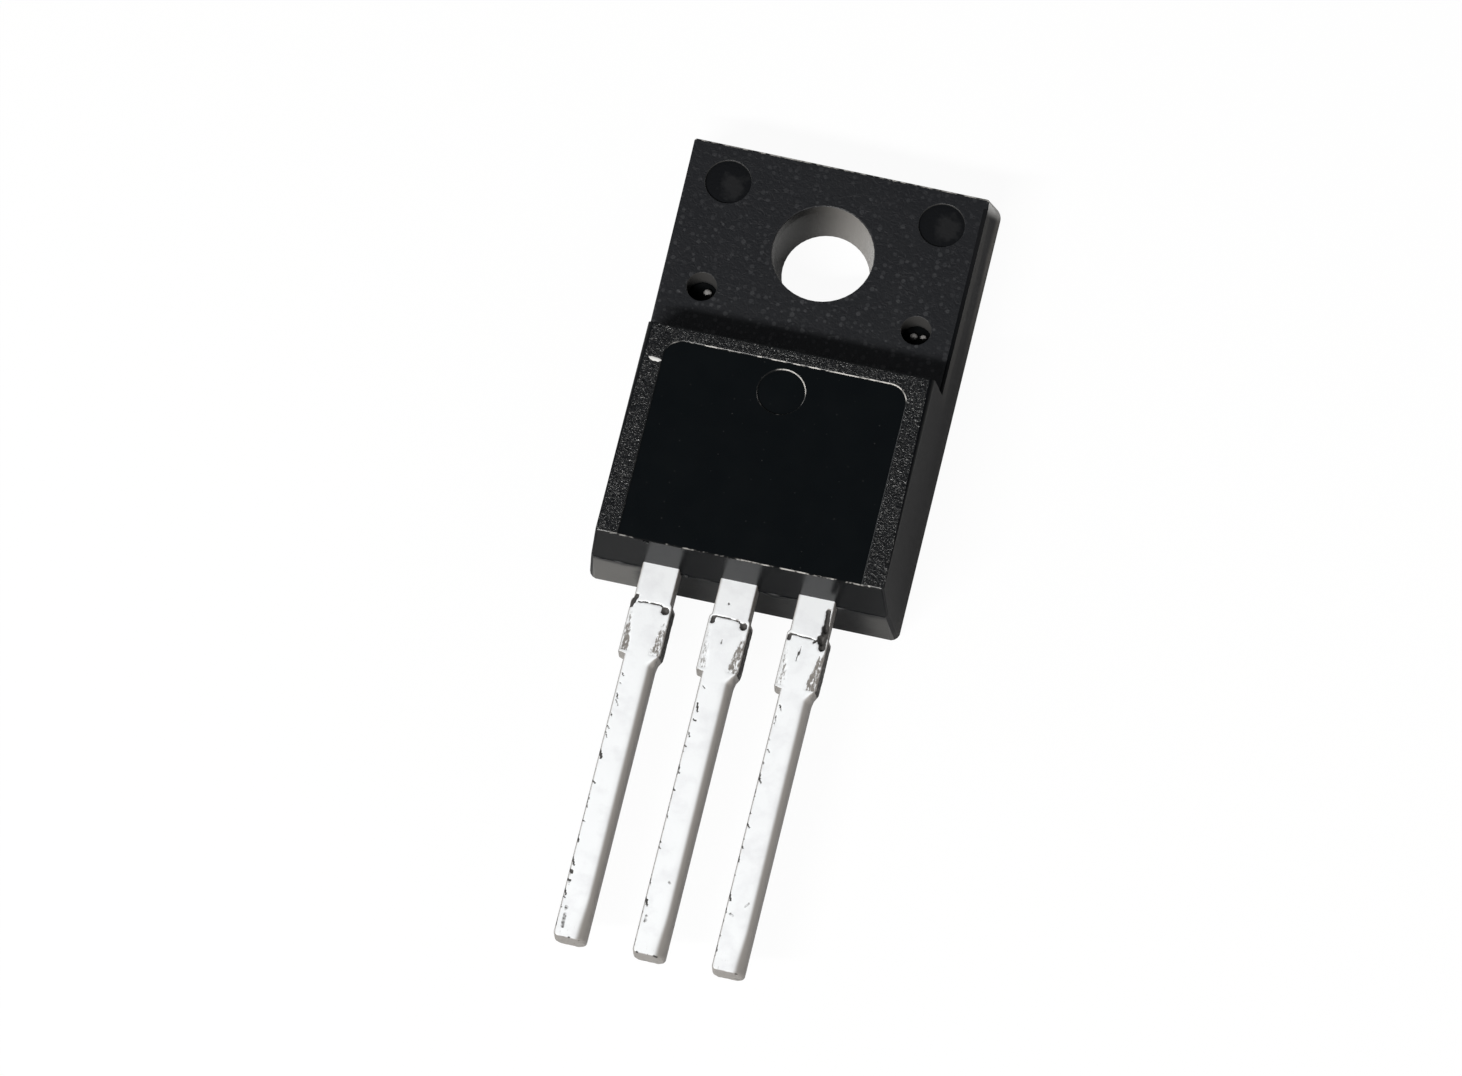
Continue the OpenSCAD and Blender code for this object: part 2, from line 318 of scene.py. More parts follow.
def makeEpoxy(name):
    v = epoxyFinishes[name]
    mat, nt, shader = newMaterial(name, v["colour"], v["rough"], specular=v["specular"])
    coords = objectCoords(nt)
    at = addNode(nt, "ShaderNodeSeparateXYZ", {0: coords})
    grain = addNode(nt, "ShaderNodeGroup", node_tree=mouldGrain)
    nt.links.new(coords, grain.inputs["Vector"])
    grain.inputs["Scale"].default_value = v["scale"]
    factor = None
    if "fade" in v:
        factor = stepOf(nt, at.outputs[v["fadeAxis"]], v["fade"])
    elif "second" in v:
        grain.inputs["Speck Scale"].default_value = v["speckScale"]
        grain.inputs["Speck Size"].default_value = v["speckSize"]
        share = rangeOf(nt, at.outputs["Y"], speckShare["from"] * mm, speckShare["to"] * mm, speckShare["least"],
                        speckShare["most"])
        factor = mathNode(nt, "MULTIPLY", grain.outputs["Specks"], share)
    colour = blendOf(nt, factor, v["colour"], v["second"]) if factor else None
    rough = rangeOf(nt, grain.outputs["Cloud"], 0.0, 1.0, v["rough"] - roughSpread, v["rough"] + roughSpread)
    dress(nt, shader, colour, grain.outputs["Height"], v["depth"], rough)
    return mat


epoxy = {name: makeEpoxy(name) for name in epoxyFinishes}

rimFinish = {
    "dark": (0.004, 0.0046, 0.005), "bright": (0.50, 0.485, 0.46), "rough": 0.34, "glintRough": 0.55,
    "fineScale": 4200.0, "broadScale": 2600.0, "fineShare": 0.6,
    "highlightReach": 0.42, "start": 0.66, "steep": 9.0, "highlightGain": 1.9,
}


def makeRim():
    # A crisp moulded edge with a painted highlight in broken dashes where its highlight attribute is high
    v = rimFinish
    mat, nt, shader = newMaterial("epoxyRim", v["dark"], v["rough"])
    coords, rimHighlight = objectCoords(nt), attributeOf(nt, "rimHighlight")
    fine = mathNode(nt, "MULTIPLY", noiseOf(nt, coords, v["fineScale"], 2.0, 0.6), v["fineShare"])
    broad = mathNode(nt, "MULTIPLY", noiseOf(nt, coords, v["broadScale"], 1.0), 1 - v["fineShare"])
    reach = mathNode(nt, "ADD", mathNode(nt, "ADD", fine, broad), mathNode(nt, "MULTIPLY", rimHighlight, v["highlightReach"]))
    dashes = mathNode(nt, "MULTIPLY", mathNode(nt, "SUBTRACT", reach, v["start"]), v["steep"], clamp=True)
    glints = mathNode(nt, "MULTIPLY", dashes, mathNode(nt, "MULTIPLY", rimHighlight, v["highlightGain"], clamp=True))
    nt.links.new(blendOf(nt, glints, v["dark"], v["bright"]), shader.inputs["Base Color"])
    nt.links.new(rangeOf(nt, glints, 0.0, 1.0, v["rough"], v["glintRough"]), shader.inputs["Roughness"])
    return mat


# The ejector pins' shallow marks: a darker floor than the tab, with a greyer patch off their middle; the near-black
# round the patch, mostly on its left, is painted shadow of the recess wall
pinFinish = {
    "dark": (0.0040, 0.0046, 0.0056), "patch": (0.0130, 0.0135, 0.0145), "rough": 0.5, "specular": 0.15,
    "patchAt": (0.16, -0.06), "patchRadius": 0.56, "patchSteep": 4000.0,
    "blotch": 2600.0, "blotchMiddle": 0.55, "blotchReach": 4.0, "grain": 9500.0, "depth": 0.01,
}


def makePinMark():
    v = pinFinish
    mat, nt, shader = newMaterial("epoxyPin", v["dark"], v["rough"], specular=v["specular"])
    coords = objectCoords(nt)
    x, y = v["patchAt"]
    away = []
    for side in (-1, 1):
        at = ((side * body["markX"] + x) * mm, (body["markY"] + y) * mm, body["markFloor"] * mm)
        away.append(addNode(nt, "ShaderNodeVectorMath", {0: coords, 1: at}, operation="DISTANCE").outputs["Value"])
    inside = mathNode(nt, "SUBTRACT", v["patchRadius"] * mm, mathNode(nt, "MINIMUM", *away))
    blotch = mathNode(nt, "SUBTRACT", noiseOf(nt, coords, v["blotch"], 4.0, 0.6), v["blotchMiddle"])
    patch = mathNode(nt, "ADD", mathNode(nt, "MULTIPLY", inside, v["patchSteep"]),
                     mathNode(nt, "MULTIPLY", blotch, v["blotchReach"]), clamp=True)
    dress(nt, shader, blendOf(nt, patch, v["dark"], v["patch"]), noiseOf(nt, coords, v["grain"], 2.0), v["depth"])
    return mat


# The back half of the lead end: dark between the leads, with a painted reflection of lit floor as a paler tone
# below the parting line at both corners
footFinish = {
    "dark": (0.0050, 0.0054, 0.0060), "pale": (0.115, 0.113, 0.108), "rough": 0.34, "specular": 0.10,
    "left": (-3.15, -3.55), "right": (3.7, 4.6), "rightShare": 0.42, "below": (2.50, 2.20),
    "cloudScale": 1500.0, "cloudDetail": 5.0, "cloudRough": 0.6, "wander": 0.5, "grain": 6000.0, "depth": 0.003,
}


def makeFoot():
    v = footFinish
    mat, nt, shader = newMaterial("epoxyFoot", v["dark"], v["rough"], specular=v["specular"])
    coords = objectCoords(nt)
    at = addNode(nt, "ShaderNodeSeparateXYZ", {0: coords})
    wander = wanderOf(nt, coords, v)
    across = mathNode(nt, "ADD", at.outputs["X"], wander)
    right = stepOf(nt, across, v["right"], high=v["rightShare"])
    corners = mathNode(nt, "MAXIMUM", stepOf(nt, across, v["left"]), right)
    below = stepOf(nt, mathNode(nt, "ADD", at.outputs["Z"], wander), v["below"])
    colour = blendOf(nt, mathNode(nt, "MULTIPLY", corners, below), v["dark"], v["pale"])
    dress(nt, shader, colour, noiseOf(nt, coords, v["grain"], 3.0), v["depth"])
    return mat


# The sides, with painted reflections: a paler strip beside the tab's front edge, another along the back and a pale
# right corner
sideFinish = {
    "colour": (0.026, 0.0265, 0.028), "pale": (0.150, 0.143, 0.134), "corner": (0.80, 0.80, 0.79),
    "rough": 0.52, "specular": 0.05, "grain": 6500.0, "depth": 0.006,
    "cloudScale": 420.0, "cloudDetail": 2.0, "cloudRough": 0.5, "wander": 0.7,
    "back": (1.15, 0.35), "backAlong": (-3.0, 2.6), "backLeast": 0.10,
    "front": (1.75, 2.1), "onTab": (-4.6, -3.2), "frontShare": 0.22,
    "cornerAlong": (2.30, 2.75), "cornerLean": 0.34, "cornerAcross": (4.60, 4.80),
}


def makeSide():
    v = sideFinish
    mat, nt, shader = newMaterial("epoxySide", v["colour"], v["rough"], specular=v["specular"])
    coords = objectCoords(nt)
    at = addNode(nt, "ShaderNodeSeparateXYZ", {0: coords})
    x, y, z = (at.outputs[axis] for axis in "XYZ")
    height = mathNode(nt, "ADD", z, wanderOf(nt, coords, v))
    frontStrip = mathNode(nt, "MULTIPLY", stepOf(nt, height, v["front"]), stepOf(nt, y, v["onTab"]))
    backStrip = mathNode(nt, "MULTIPLY", stepOf(nt, height, v["back"]), stepOf(nt, y, v["backAlong"], v["backLeast"]))
    pale = mathNode(nt, "MAXIMUM", backStrip, mathNode(nt, "MULTIPLY", frontStrip, v["frontShare"]))
    lean = mathNode(nt, "MULTIPLY", mathNode(nt, "SUBTRACT", z, body["tabTop"] * mm), v["cornerLean"])
    atEnd = stepOf(nt, mathNode(nt, "ADD", y, lean), v["cornerAlong"])
    onRight = rangeOf(nt, x, v["cornerAcross"][0] * mm, v["cornerAcross"][1] * mm)
    colour = blendOf(nt, pale, v["colour"], v["pale"])
    colour = blendOf(nt, mathNode(nt, "MULTIPLY", atEnd, onRight), colour, v["corner"])
    dress(nt, shader, colour, noiseOf(nt, coords, v["grain"], 3.0), v["depth"])
    return mat


# Moulded body

def smoothStep(low, high, value):
    t = min(max((value - low) / (high - low), 0.0), 1.0)
    return t * t * (3 - 2 * t)


def mergedCopy(nodeName):
    bm = bmesh.new()
    bm.from_mesh(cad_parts[nodeName].data)
    bmesh.ops.remove_doubles(bm, verts=bm.verts, dist=2e-7)
    bmesh.ops.dissolve_limit(bm, angle_limit=math.radians(0.05), verts=bm.verts, edges=bm.edges)
    return bm


# All in mm. Each ring of the hole has its level, its middle's x and y, and its radius.
body = {
    "blockTop": 4.45, "tabTop": 2.65, "panelHalf": 3.95, "panelTop": -4.72, "panelFloor": 4.41, "leadEnd": -11.55,
    "markX": 3.53, "markY": 1.7, "markFloor": 2.58, "pinY": -2.05, "metalTop": 1.8,
    "outerRound": 0.16, "leftRound": 0.05, "rightRound": 0.12, "endRound": 0.045, "panelRound": 0.030,
    "markRound": 0.018, "holeRound": 0.04, "backRound": 0.09,
    "leftOut": 0.09, "leftBack": 0.07,                     # how far the tab's left edge stands out, and its corner
    "holeWaist": 0.6, "holeReach": 1.75,
    "holeRings": ((2.65, 0.02, -0.10, 1.655), (2.30, 0.03, -0.085, 1.595), (0.6, 0.05, -0.04, 1.43),
                  (0.0, 0.05, -0.02, 1.68)),
}

# The lead end's back corners: their radius, the half width and lead end at the back, the height over which they
# taper away, and for each cut its angle and how far it reaches at the top
foot = {"round": 0.30, "halfWide": 5.101, "leadEnd": -11.618, "high": 2.6,
        "cuts": ((22.5, 8.975), (45.0, 11.719), (67.5, 12.733))}

# Numbers of the rounded edges' zones
zoneOf = {"outerEdge": 1, "panelRim": 2, "endRim": 3, "holeRim": 4, "backEdge": 5, "leftEdge": 6}

# Where the rims get a painted highlight: steps are between two places in mm
rimHighlights = {
    "above": 4.3, "cuts": ((1, (-11.42, -5.42, -5.2, -5.0)),         # short stretches, by axis
                           (0, (-4.2, -3.9, -3.2, -3.02, -2.84, -1.5, 0.0, 1.5, 2.7, 3.2, 3.6, 4.2))),
    "markY": -5.72, "markReach": 0.95, "markLeast": 0.14, "markMore": 0.44, "markStep": (0.52, 0.74),
    "markTurn": (0.75, 1.2, 1.07), "panelLeast": 0.10,
    "corner": 0.60, "cornerY": (-5.42, -5.0), "cornerX": (3.2, 3.6),
    "top": 0.42, "topMore": 0.20, "topY": (-4.95, -4.80), "topX": (-3.9, -3.6), "topMoreX": (-2.5, 2.5),
    "end": 0.30, "endMore": 0.28, "endMoreX": (-3.5, 2.5), "endX": (4.5, 4.2), "nickX": -3.02,
    "nickStep": (0.08, 0.2), "tabEnd": 0.52,
}


def near(a, b, tolerance=0.006):
    return abs(a - b) < tolerance


def onLevel(a, b, z):
    return near(a.z, z) and near(b.z, z)


def isSideEdge(a, b):
    return (a - b).length > 2 and abs((a + b).x / 2) > 4.5 and onLevel(a, b, body["blockTop"])


def isTabEdge(a, b, side):
    return (a - b).length > 2 and (a + b).x / 2 * side > 4.5 and onLevel(a, b, body["tabTop"])


def isEndEdge(a, b):
    # The step's, the tab's and the lead end's front edges, with their corners
    v = body
    m = (a + b) / 2
    if onLevel(a, b, v["tabTop"]):
        return m.y > 2.7
    if onLevel(a, b, v["blockTop"]):
        atStep = m.y > v["panelTop"] + 0.2 and abs(m.x) < 4.6
        return atStep or (m.y < v["leadEnd"] + 0.1 and abs(m.x) > v["panelHalf"] + 0.001)
    return onLevel(a, b, v["panelFloor"]) and m.y < v["leadEnd"]


def isPanelEdge(a, b):
    v = body
    m = (a + b) / 2
    inside = abs(m.x) < v["panelHalf"] + 0.01 and v["leadEnd"] + 0.1 < m.y < v["panelTop"] + 0.01
    if onLevel(a, b, v["blockTop"]):
        return inside
    return onLevel(a, b, v["panelFloor"]) and inside and m.y < v["panelTop"] - 0.1 and abs(m.x) < 1


def isMarkRim(a, b):
    short = (a - b).length < 0.3
    return short and onLevel(a, b, body["tabTop"]) and (a + b).y / 2 > -3 and 2.8 < abs(a.x + b.x) / 2 < 4.4


def isHoleRim(a, b):
    return (a + b).xy.length / 2 < 1.8 and (onLevel(a, b, body["tabTop"]) or onLevel(a, b, 0))


def isBackEdge(a, b):
    return onLevel(a, b, 0) and (a + b).xy.length / 2 > 2


def roundEdges(bm, wanted, width, segments):
    edges = [e for e in bm.edges if len(e.link_faces) == 2 and e.calc_face_angle(0) > math.radians(25)
             and wanted(e.verts[0].co / mm, e.verts[1].co / mm)]
    made = bmesh.ops.bevel(bm, geom=edges, offset=width * mm, offset_type="OFFSET", segments=segments, profile=0.5,
                           affect="EDGES", material=-1, clamp_overlap=False)
    print("  rounded", len(edges), "edges by", width)
    return made["faces"]


def bisect(bm, faces, at, normal, **clear):
    parts = dict.fromkeys(g for f in faces for g in (*f.verts, *f.edges, f))     # each once, in a fixed order
    return bmesh.ops.bisect_plane(bm, geom=list(parts), dist=1e-9, plane_co=at * mm, plane_no=normal, **clear)


def cutFootCorners(bm):
    # The back half's two corners at the lead end, rounded more and more towards the back by three tapering cuts
    v = foot
    r = v["round"]
    for side in (-1, 1):
        for angle, topReach in v["cuts"]:
            n = Vector((side * math.cos(math.radians(angle)), -math.sin(math.radians(angle)), 0))
            backReach = n.dot(Vector((side * (v["halfWide"] - r), v["leadEnd"] + r, 0))) + r
            plane = Vector((n.x, n.y, -(topReach - backReach) / v["high"])).normalized()
            made = bisect(bm, bm.faces, n * backReach, plane, clear_outer=True)
            rim = [g for g in made["geom_cut"] if isinstance(g, bmesh.types.BMEdge) and g.is_boundary]
            if rim:
                bmesh.ops.contextual_create(bm, geom=rim)


def shapeHole(bm):
    # The hole narrows to a waist near the back
    v = body
    wall = [f for f in bm.faces if f.calc_center_median().xy.length < v["holeReach"] * mm and abs(f.normal.z) < 0.5]
    bisect(bm, wall, Vector((0, 0, v["holeWaist"])), (0, 0, 1))
    for level, x, y, radius in v["holeRings"]:
        for w in bm.verts:
            if near(w.co.z / mm, level) and w.co.xy.length < v["holeReach"] * mm:
                w.co.xy = (w.co.xy.normalized() * radius + Vector((x, y))) * mm


def rimHighlightOf(c, zone):
    # How strongly the crisp edges get a painted highlight
    v = rimHighlights
    if zone == zoneOf["panelRim"]:
        if c.z > v["above"] and (c.xy - Vector((0.0, v["markY"]))).length < v["markReach"]:
            ahead, aside, size = v["markTurn"]
            turned = (ahead * c.x + aside * (c.y - v["markY"])) / size
            return v["markLeast"] + v["markMore"] * smoothStep(*v["markStep"], turned)
        corner = v["corner"] * smoothStep(*v["cornerY"], c.y) * smoothStep(*v["cornerX"], c.x)
        top = v["top"] + v["topMore"] * smoothStep(*v["topMoreX"], c.x)
        return max(corner, top * smoothStep(*v["topY"], c.y) * smoothStep(*v["topX"], c.x), v["panelLeast"])
    if zone == zoneOf["endRim"] and c.y < -11.4 and c.z > 4.36:
        worn = v["end"] + v["endMore"] * smoothStep(*v["endMoreX"], c.x)
        return worn * smoothStep(*v["endX"], abs(c.x)) * smoothStep(*v["nickStep"], abs(c.x - v["nickX"]))
    return v["tabEnd"] if zone == zoneOf["endRim"] and c.y > 2.7 else 0.0


def finishOf(c, n, zone):
    # The epoxy's finish for a face, by its middle in mm, its direction and its zone
    v = body
    if zone in (zoneOf["panelRim"], zoneOf["endRim"]) and (c.z > 4.3 or c.y > 2.7):
        return "epoxyRim"
    if zone == zoneOf["outerEdge"]:
        return "epoxyEdge"
    if n.z > 0.9 and 4.3 < c.z < v["panelFloor"] + 0.015:
        return "epoxyPanel"
    if c.z > 4.36 and n.z > 0.6:
        return "epoxyBorder"
    if n.z > 0.9 and near(c.z, v["markFloor"], 0.02) and abs(abs(c.x) - v["markX"]) < 0.3:
        return "epoxyPin"
    if n.z > 0.6 and c.z > 2.5:
        return "epoxyTab"
    if c.y < -11.5 and n.y < -0.8:
        return "epoxyEnd" if n.z > 0 else "epoxyFoot"
    if c.xy.length < v["holeReach"]:
        return "epoxyBore"
    # the faces at the tab's top right corner get a painted reflection
    return "epoxyCornerGlare" if c.x > 4.2 and c.y > 2.3 and n.y > 0.2 and n.x > 0.2 else "epoxySide"


def makeBody():
    v = body
    bm = mergedCopy("moulded_body")
    cutFootCorners(bm)
    for w in bm.verts:                                    # the tab's left edge stands out a little further
        if w.co.x < -4.5 * mm and w.co.y > -4.0 * mm and near(w.co.z / mm, v["tabTop"]):
            w.co.x -= v["leftOut"] * mm
            w.co.y += v["leftBack"] * mm if w.co.y > 2.5 * mm else 0
    shapeHole(bm)
    zones = bm.faces.layers.int.new("zone")
    for zone, wanted, width, segments in (
            ("outerEdge", isSideEdge, v["outerRound"], 5),
            ("outerEdge", lambda a, b: isTabEdge(a, b, 1), v["rightRound"], 4),
            ("leftEdge", lambda a, b: isTabEdge(a, b, -1), v["leftRound"], 3),
            ("endRim", isEndEdge, v["endRound"], 2), ("panelRim", isPanelEdge, v["panelRound"], 2),
            ("panelRim", isMarkRim, v["markRound"], 2), ("holeRim", isHoleRim, v["holeRound"], 3),
            ("backEdge", isBackEdge, v["backRound"], 3)):
        for f in roundEdges(bm, wanted, width, segments):
            f[zones] = zoneOf[zone]
    rims = (zoneOf["panelRim"], zoneOf["endRim"])
    for axis, places in rimHighlights["cuts"]:                   # so that the painted highlight can change along the rims
        side = Vector((axis == 0, axis == 1, 0))
        for at in places:
            parts = [f for f in bm.faces if f[zones] in rims and f.calc_center_median().z > rimHighlights["above"] * mm]
            bisect(bm, parts, side * at, side)
    order = ["epoxyTab", "epoxyBorder", "epoxyPanel", "epoxyEnd", "epoxySide", "epoxyBore", "epoxyFoot", "epoxyEdge",
             "epoxyRim", "epoxyPin", "epoxyCornerGlare"]
    rimHighlight = bm.verts.layers.float.new("rimHighlight")
    for f in bm.faces:
        c, n = f.calc_center_median() / mm, f.normal
        name = finishOf(c, n, f[zones])
        f.material_index = order.index(name)
        f.smooth = f.calc_area() < 4e-7 and len(f.verts) <= 4
        if name == "epoxyRim":
            for w in f.verts:
                w[rimHighlight] = max(w[rimHighlight], rimHighlightOf(w.co / mm, f[zones]))
        elif name == "epoxyBore":                         # round shading round the bore, crisp at its rims
            f.smooth = abs(n.z) < 0.5
            for e in f.edges:
                a, b = (w.co / mm for w in e.verts)
                e.smooth = not onLevel(a, b, a.z)
    obj = meshObject(bm, "mouldedBody", [epoxy[n] for n in order])
    ridePiece(obj, ["moulded_body"])


epoxy.update(epoxyRim=makeRim(), epoxyPin=makePinMark(), epoxySide=makeSide(), epoxyFoot=makeFoot())
makeBody()
print("moulded body made")


# Leads

tinFinish = {
    "bright": (0.930, 0.950, 0.970), "dull": (0.86, 0.875, 0.90), "shearedAndShaded": (0.335, 0.317, 0.300),
    "scuffed": (0.22, 0.205, 0.19), "notch": (0.055, 0.052, 0.050),
    "rough": 0.42, "wornRough": 0.68, "metallic": 0.12,
    "cloudScale": 1300.0, "dullSpan": (0.34, 0.52), "scuffScale": 15000.0, "scuffStretch": (1.0, 0.35, 1.0),
    # how much the speckle moves a mark's border, where the mark starts, how steep it is and how soon it is full
    "scuff": (2.6, 0.44, 2.6, 1.6), "wear": (0.8, 0.45, 4.0, 1.8),
    "fineShare": 0.25, "depth": 0.006,
}


def makeTin():
    # Tin over copper: cloudy and bright, duller on sheared faces and darker on the rolled edges as painted shade, with
    # fine scuffs and dark notches by attribute
    v = tinFinish
    mat, nt, shader = newMaterial("tinnedCopper", v["bright"], v["rough"], metallic=v["metallic"])
    coords = objectCoords(nt)
    cloud = noiseOf(nt, coords, v["cloudScale"], 5.0, 0.6)
    along = addNode(nt, "ShaderNodeMapping", {"Vector": coords})       # scuffs run along the lead
    along.inputs["Scale"].default_value = v["scuffStretch"]
    fine = noiseOf(nt, along.outputs[0], v["scuffScale"], 2.0, 0.6)
    coarse = noiseOf(nt, coords, v["scuffScale"] * 0.5, 2.0)

    def markOf(name, speckle):
        amount, start, steep, gain = v[name]
        value = attributeOf(nt, name)
        moved = mathNode(nt, "ADD", value, mathNode(nt, "MULTIPLY", mathNode(nt, "SUBTRACT", speckle, 0.5), amount))
        mark = mathNode(nt, "MULTIPLY", mathNode(nt, "SUBTRACT", moved, start), steep, clamp=True)
        return mathNode(nt, "MULTIPLY", mark, mathNode(nt, "MULTIPLY", value, gain, clamp=True))

    scuffs, notches = markOf("scuff", fine), markOf("wear", coarse)
    colour = blendOf(nt, rangeOf(nt, cloud, *v["dullSpan"]), v["dull"], v["bright"])
    for mask, name in ((attributeOf(nt, "shearAndShade"), "shearedAndShaded"), (scuffs, "scuffed"), (notches, "notch")):
        colour = blendOf(nt, mask, colour, v[name])
    height = mathNode(nt, "ADD", cloud, mathNode(nt, "MULTIPLY", fine, v["fineShare"]))
    rough = rangeOf(nt, mathNode(nt, "MAXIMUM", scuffs, notches), 0.0, 1.0, v["rough"], v["wornRough"])
    dress(nt, shader, colour, height, v["depth"], rough)
    return mat


tin = makeTin()

lead = {
    "middle": 2.6, "thick": 0.70, "bodySide": -11.5, "rootEnd": -13.05, "shoulderEnd": -15.2, "tip": -24.49,
    "stepUp": {"base": 0.32, "collector": 0.28, "emitter": 0.25},      # how much sooner each shoulder ends
    "rows": 400, "columns": 26, "layers": 8,
    # half width, front edge radius on the left and right, and how far the right side leans out towards the back
    "root": (0.600, 0.05, 0.05, 0.045), "shoulder": (0.670, 0.045, 0.05, 0.080), "thin": (0.455, 0.06, 0.38, 0.03),
    "thinRight": 0.570, "leftStep": 0.02, "rightStep": 0.24, "backRoll": 0.12,
    "tipRound": 0.15, "tipRoll": 0.14, "tipRollFrom": (-22.9, -24.4),
}

# Each lead's own marks on the front: from (across, along) to (across, along), radius, depth, darkness.
# Across is from the lead's middle, along is the frame's Y, all in mm.
leadMarks = {
    "base": [
        (-0.51, -12.92, -0.634, -13.27, 0.075, 0.10, 1.0), (0.475, -13.246, 0.49, -13.23, 0.13, 0.12, 1.0),
        (-0.405, -13.11, -0.15, -13.06, 0.030, 0.03, 0.9), (-0.15, -13.09, 0.294, -13.065, 0.030, 0.03, 0.85),
        (0.294, -13.065, 0.42, -13.16, 0.035, 0.03, 0.9),
        (-0.36, -22.3, -0.36, -22.75, 0.060, 0.0, 0.54), (-0.25, -23.5, -0.22, -24.15, 0.075, 0.0, 0.55)],
    "collector": [
        (-0.508, -13.10, -0.53, -13.24, 0.075, 0.08, 1.0), (0.479, -13.222, 0.49, -13.20, 0.12, 0.12, 1.0),
        (-0.45, -13.035, 0.278, -13.059, 0.030, 0.03, 0.9), (0.278, -13.059, 0.40, -13.15, 0.032, 0.03, 0.85),
        (-0.154, -12.55, -0.15, -12.56, 0.045, 0.02, 0.9), (-0.087, -13.78, -0.087, -13.90, 0.035, 0.015, 0.8),
        (-0.27, -23.25, -0.27, -23.45, 0.065, 0.0, 0.54), (0.16, -22.02, 0.18, -22.04, 0.065, 0.0, 0.56)],
    "emitter": [
        (-0.564, -13.16, -0.57, -13.27, 0.07, 0.08, 1.0), (-0.526, -13.104, 0.318, -13.161, 0.030, 0.03, 0.9),
        (0.30, -13.17, 0.22, -13.25, 0.045, 0.03, 0.85), (0.458, -12.138, 0.50, -12.75, 0.085, 0.12, 1.0),
        (0.49, -12.65, 0.52, -13.379, 0.115, 0.14, 1.0), (0.405, -13.05, 0.43, -13.18, 0.10, 0.12, 1.0),
        (-0.115, -13.474, -0.187, -13.963, 0.035, 0.015, 0.75), (-0.27, -22.62, -0.20, -22.66, 0.060, 0.0, 0.54),
        (0.12, -22.28, 0.22, -22.16, 0.055, 0.0, 0.54)],
}
# How strongly each lead's sheared shoulder is scuffed: left strip, right strip; and the seed of its small nicks
leadWear = {"base": (0.95, 0.66, 3), "collector": (0.50, 0.78, 11), "emitter": (0.55, 0.85, 27)}


def profileAt(y, stepUp):
    # Left and right half widths, left and right front radii and the right side's lean, at a place along the lead
    v = lead
    shoulderEnd = v["shoulderEnd"] + stepUp
    onThin = smoothStep(shoulderEnd + 0.10, shoulderEnd - 0.30, y)
    past = smoothStep(v["rootEnd"] + 0.10, v["rootEnd"] - 0.02, y)
    left = right = v["root"][0] + (v["shoulder"][0] - v["root"][0]) * past
    left += (v["thin"][0] - left) * min(max((shoulderEnd + v["leftStep"] - y) / v["leftStep"], 0), 1)
    right += (v["thinRight"] - right) * smoothStep(shoulderEnd + v["rightStep"], shoulderEnd - 0.06, y)
    rolls = [a + (b - a) * past for a, b in zip(v["root"][1:], v["shoulder"][1:])]
    leftRoll, rightRoll, lean = [a + (b - a) * onThin for a, b in zip(rolls, v["thin"][1:])]
    rightRoll += v["tipRoll"] * smoothStep(*v["tipRollFrom"], y)
    end = v["tip"] + v["tipRound"] - y
    if end > 0:
        pull = v["tipRound"] - math.sqrt(max(v["tipRound"] ** 2 - end ** 2, 0.0))
        left, right = left - pull, right - pull
    return left, right, leftRoll, rightRoll, lean


def segmentDistance(u, y, mark):
    a, b, p = Vector(mark[0:2]), Vector(mark[2:4]), Vector((u, y))
    t = min(max((p - a).dot(b - a) / max((b - a).length_squared, 1e-9), 0.0), 1.0)
    return (p - a - (b - a) * t).length


# Small dents along the left edge: a little inside it near the shoulder, on it further down
nicks = {"count": 24, "from": -15.35, "over": 8.8, "across": -0.43, "inside": 0.14, "insideTo": (-15.5, -19.0),
         "long": 0.26, "radius": 0.025, "radiusMore": 0.019, "deep": 0.012, "dark": 0.53, "darkMore": 0.30}


def nicksOf(seed):
    v = nicks
    marks = []
    for i in range(v["count"]):
        k = noise.cell_vector(Vector((seed, i, 0.5)))
        y = v["from"] - v["over"] * (i + 0.9 * k.x) / v["count"]
        u = v["across"] + v["inside"] * (1 - smoothStep(*v["insideTo"], y)) * (0.4 + 0.6 * k.y)
        marks.append((u - 0.02, y, u + 0.10 * k.y * k.y, y - v["long"] * k.z * k.z - 0.03,
                      v["radius"] + v["radiusMore"] * k.x, v["deep"], v["dark"] + v["darkMore"] * k.y))
    return marks


# The scuffed strips on the sheared shoulders: where each starts across, how far it moves in towards the shoulder's
# end, and where it comes in along the lead
strips = {"left": (0.49, 0.54, 0.14, -13.1, -14.1), "right": (0.47, 0.54, 0.20, -13.35, -13.8),
          "down": (-13.4, -14.8), "leftEdge": (0.60, 0.64), "sink": 0.02, "edgeWear": 0.74, "edgeRough": 0.010}

# The cut tips: how far their edges are scuffed and darkened
tips = {"scuffFrom": (-23.2, -24.4), "scuff": 0.12, "scuffMore": 0.45, "darkEdge": 0.85, "dark": 0.25,
        "darkMore": 0.5, "uneven": 0.012}


def roundSection(x, z, halfWide, halfHigh, roll):
    # A point of a box's section, moved onto the box with rounded corners
    inner = Vector((min(max(x, roll - halfWide), halfWide - roll), min(max(z, roll - halfHigh), halfHigh - roll)))
    out = Vector((x, z)) - inner
    return inner + out.normalized() * roll if out.length > 1e-9 else (x, z)


def stripOf(side, x, y):
    outer, inner, shift, start, end = strips[side]
    down = smoothStep(*strips["down"], y)
    return smoothStep(outer - shift * down, inner - shift * down, x) * smoothStep(start, end, y)


